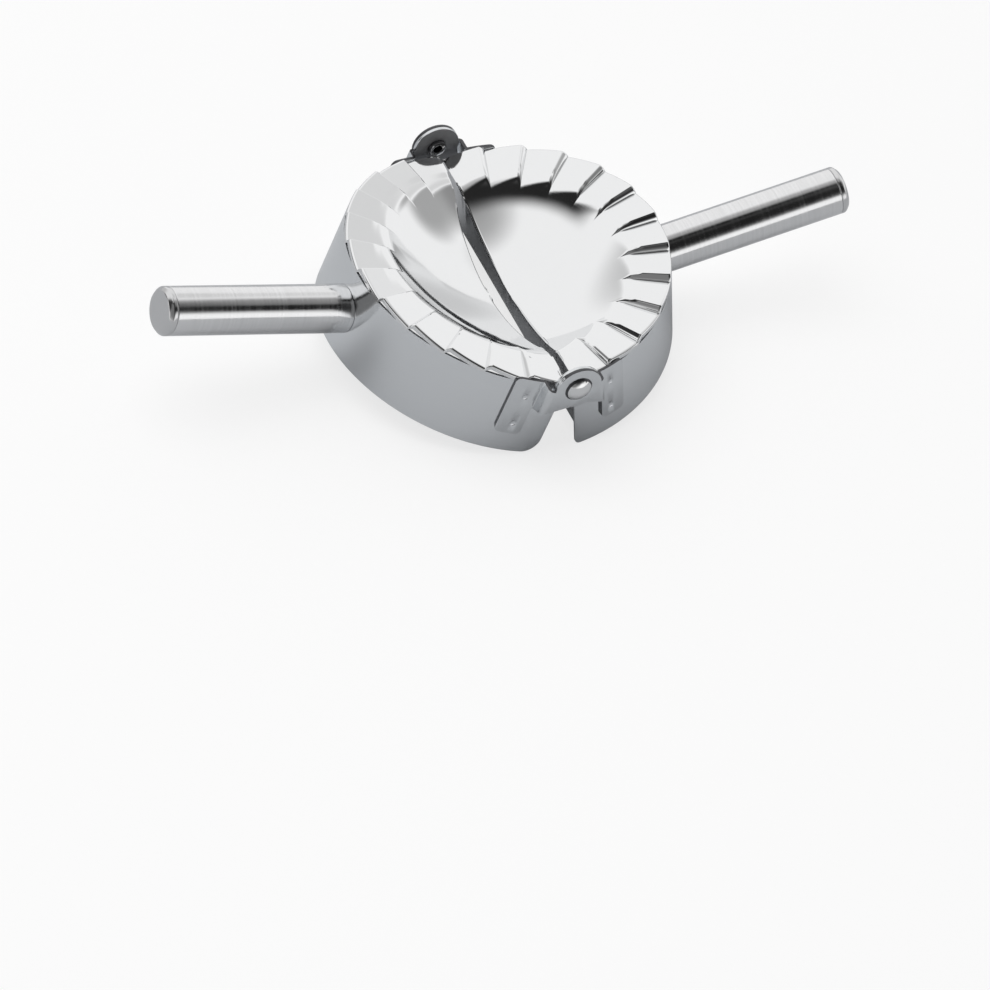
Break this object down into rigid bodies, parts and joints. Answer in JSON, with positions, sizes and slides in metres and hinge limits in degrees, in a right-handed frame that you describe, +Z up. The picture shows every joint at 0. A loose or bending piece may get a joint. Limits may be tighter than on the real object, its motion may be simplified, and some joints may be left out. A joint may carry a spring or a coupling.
{
  "type": "empanada press",
  "caption": "Hinged steel press for filled half-moon pastries: two pleated half bowls over round cutting skirts, folding on end rivets, each with a hollow tube handle.",
  "frame": {"origin": "centre of the bounding box at the level of the surface that the press stands on, below the middle of the hinge", "axes": "+X towards the right half's handle, +Y from the front hinge to the back hinge, +Z up; at rest both halves are raised by 12 degrees about the hinge axis"},
  "size_m": [0.2166, 0.1086, 0.0404],
  "materials": {
    "mirror_steel": "mirror polished stamped stainless steel",
    "satin_steel": "smooth satin stainless steel",
    "leaf_steel": "plain rolled stainless strip",
    "rivet_steel": "bright rivet",
    "brushed_steel_tube": "polished tube with fine lengthwise brushing",
    "cap_steel": "satin stamped cap",
    "plain_steel": "turned steel",
    "fastener_steel": "bright zinc plated steel"
  },
  "bodies": {
    "right_half": {"right_bowl": "mirror_steel", "right_skirt": "satin_steel", "right_front_hinge_leaf": "leaf_steel", "right_back_hinge_leaf": "leaf_steel", "back_rivet": "rivet_steel", "right_handle_tube": "brushed_steel_tube", "right_handle_plug": "plain_steel", "right_handle_cap": "cap_steel", "right_handle_washer": "fastener_steel", "right_handle_screw": "fastener_steel"},
    "left_half": {"left_bowl": "mirror_steel", "left_skirt": "satin_steel", "left_front_hinge_leaf": "leaf_steel", "left_back_hinge_leaf": "leaf_steel", "front_rivet": "rivet_steel", "left_handle_tube": "brushed_steel_tube", "left_handle_plug": "plain_steel", "left_handle_cap": "cap_steel", "left_handle_washer": "fastener_steel", "left_handle_screw": "fastener_steel"}
  },
  "joints": [
    {"name": "fold", "type": "hinge", "parent": "right_half", "child": "left_half", "pos_m": [0, 0, 0.02781], "axis": [0, 1, 0], "range_deg": [-24, 156]}
  ]
}
